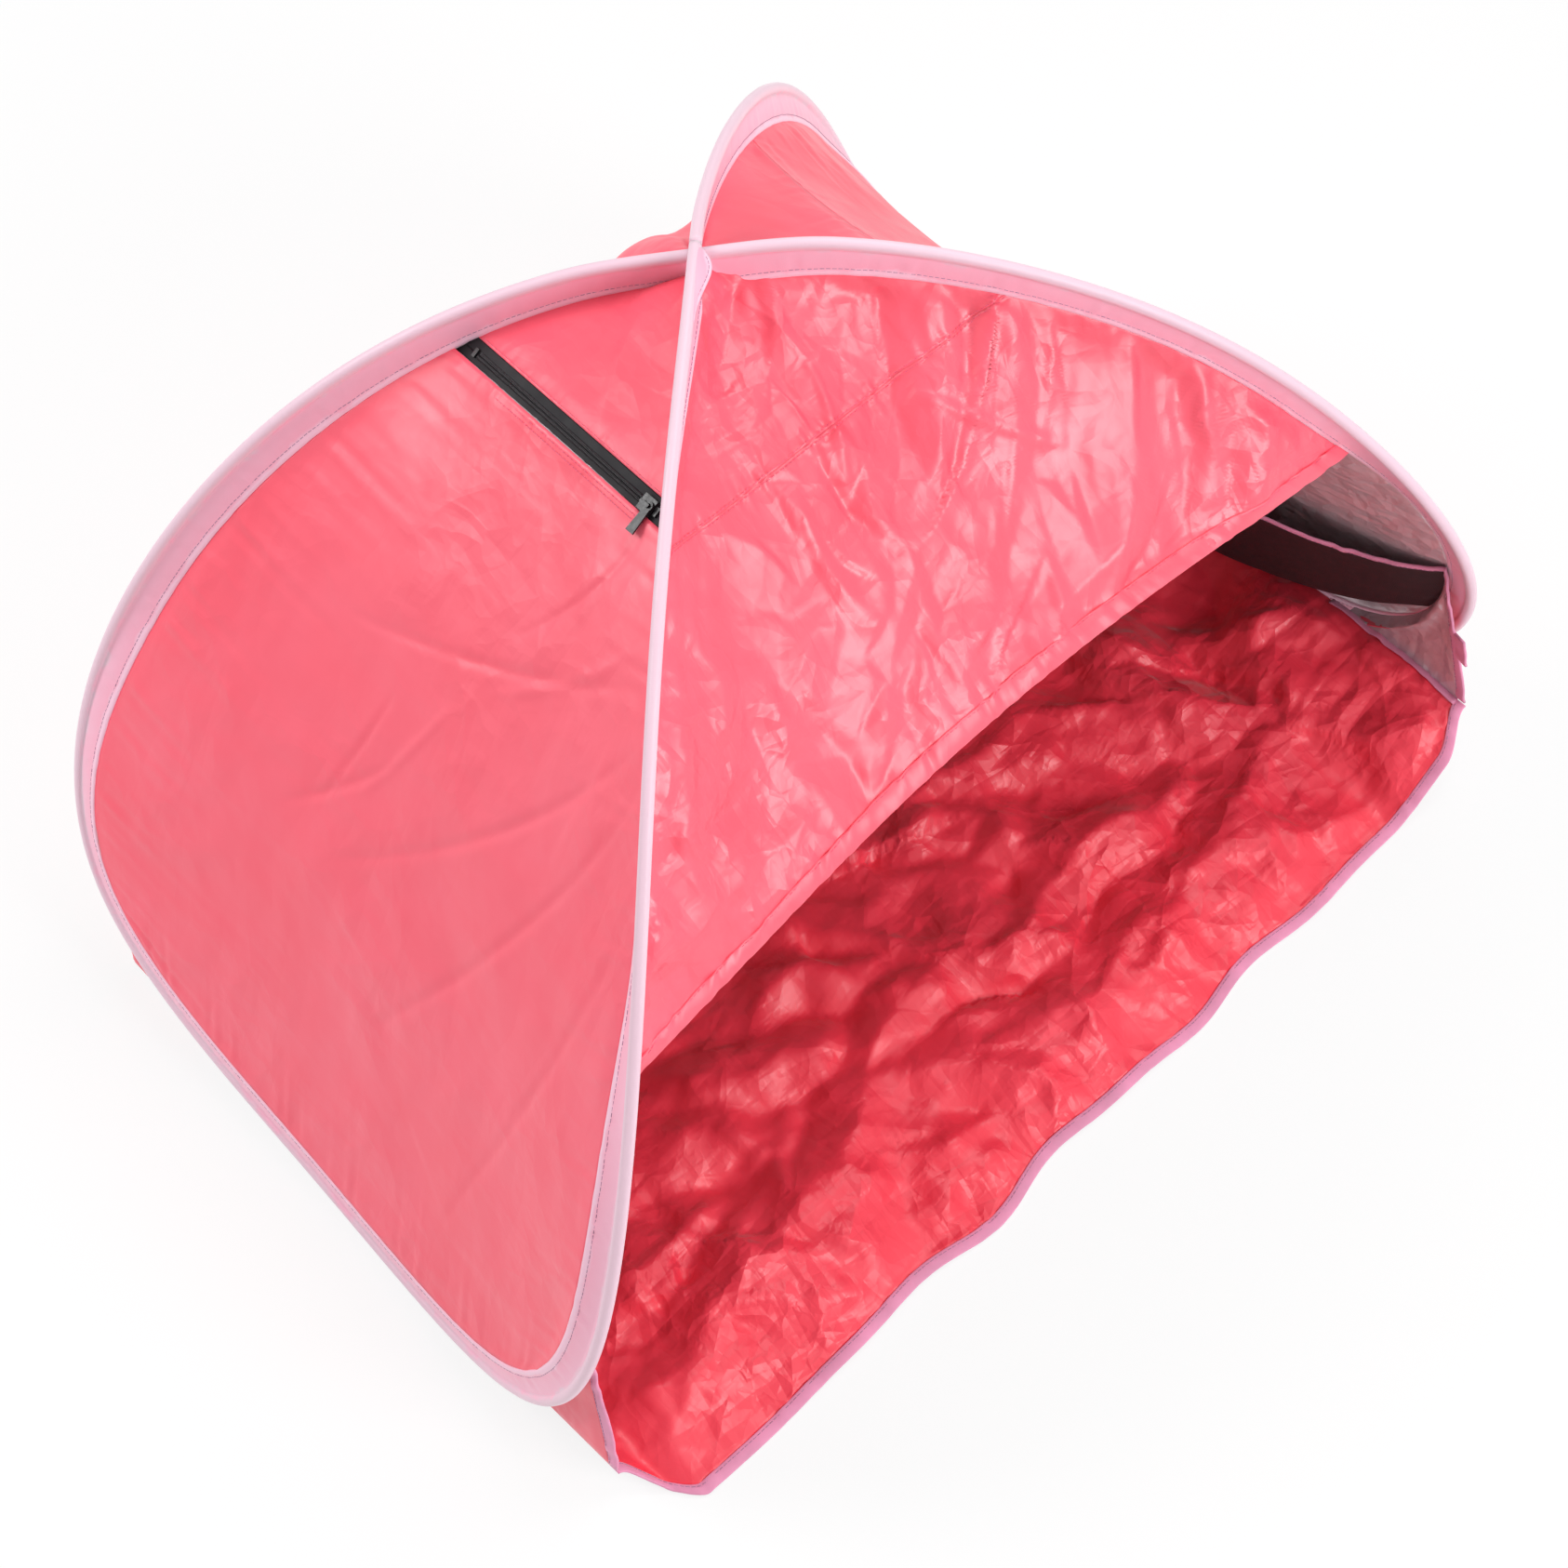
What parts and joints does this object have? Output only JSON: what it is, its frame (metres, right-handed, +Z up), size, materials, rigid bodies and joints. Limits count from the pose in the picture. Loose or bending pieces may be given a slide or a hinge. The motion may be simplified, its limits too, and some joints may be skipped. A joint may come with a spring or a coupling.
{
  "type": "pop-up beach tent",
  "caption": "Small pop-up beach shade on one crossed spring hoop, with two side panels, a front canopy, a rear wall, a loose floor, a zipped pocket and a mesh pocket.",
  "frame": {"origin": "on the ground straight under the crossing of the hoop", "axes": "+X to the right when looking in from the open front, -Y out of the open front, +Z up"},
  "size_m": [0.7062, 0.5135, 0.4525],
  "materials": {
    "coral_cloth": "thin woven polyester with a silver coated inner side",
    "floor_cloth": "thin coated woven polyester, crumpled",
    "casing_tape": "thin translucent woven tape",
    "edge_binding": "folded woven tape",
    "lining": "silver grey coated cloth",
    "mesh": "fine black knitted mesh",
    "zip_tape": "black woven zip tape",
    "zip_coil": "black nylon coil",
    "zip_metal": "black painted die casting",
    "stop_metal": "pressed metal stops",
    "spring_wire": "tempered spring steel wire",
    "sleeve_metal": "crimped tube"
  },
  "bodies": {
    "tent": {"canopy_lower": "coral_cloth", "canopy_upper": "coral_cloth", "corner_tab": "edge_binding", "eave_hem": "coral_cloth", "floor_binding": "edge_binding", "floor_sheet": "floor_cloth", "frame_wire": "spring_wire", "left_casing": "casing_tape", "left_pocket_liner": "lining", "left_side_lower": "coral_cloth", "left_side_upper": "coral_cloth", "mesh_pocket": "mesh", "mesh_pocket_binding": "edge_binding", "rear_wall": "coral_cloth", "right_casing": "casing_tape", "right_side_lower": "coral_cloth", "right_side_upper": "coral_cloth", "skirt_binding_left": "edge_binding", "skirt_binding_right": "edge_binding", "skirt_front_left": "coral_cloth", "skirt_front_right": "coral_cloth", "skirt_rear_left": "coral_cloth", "skirt_rear_right": "coral_cloth", "wire_sleeve": "sleeve_metal", "zipper_bead_lower": "zip_coil", "zipper_bead_upper": "zip_coil", "zipper_stop_front": "stop_metal", "zipper_stop_rear": "stop_metal", "zipper_tape_lower": "zip_tape", "zipper_tape_upper": "zip_tape"},
    "slider": {"zipper_slider": "zip_metal"},
    "pull": {"zipper_pull": "zip_metal"}
  },
  "joints": [
    {"name": "slider_slide", "type": "slide", "parent": "tent", "child": "slider", "axis": [0.0871, 0.9888, -0.121], "range_m": [0, 0.1359]},
    {"name": "pull_swivel", "type": "hinge", "parent": "slider", "child": "pull", "pos_m": [-0.10552, -0.08109, 0.41124], "axis": [-0.529, 0.1489, 0.8355], "range_deg": [-25, 70]}
  ]
}
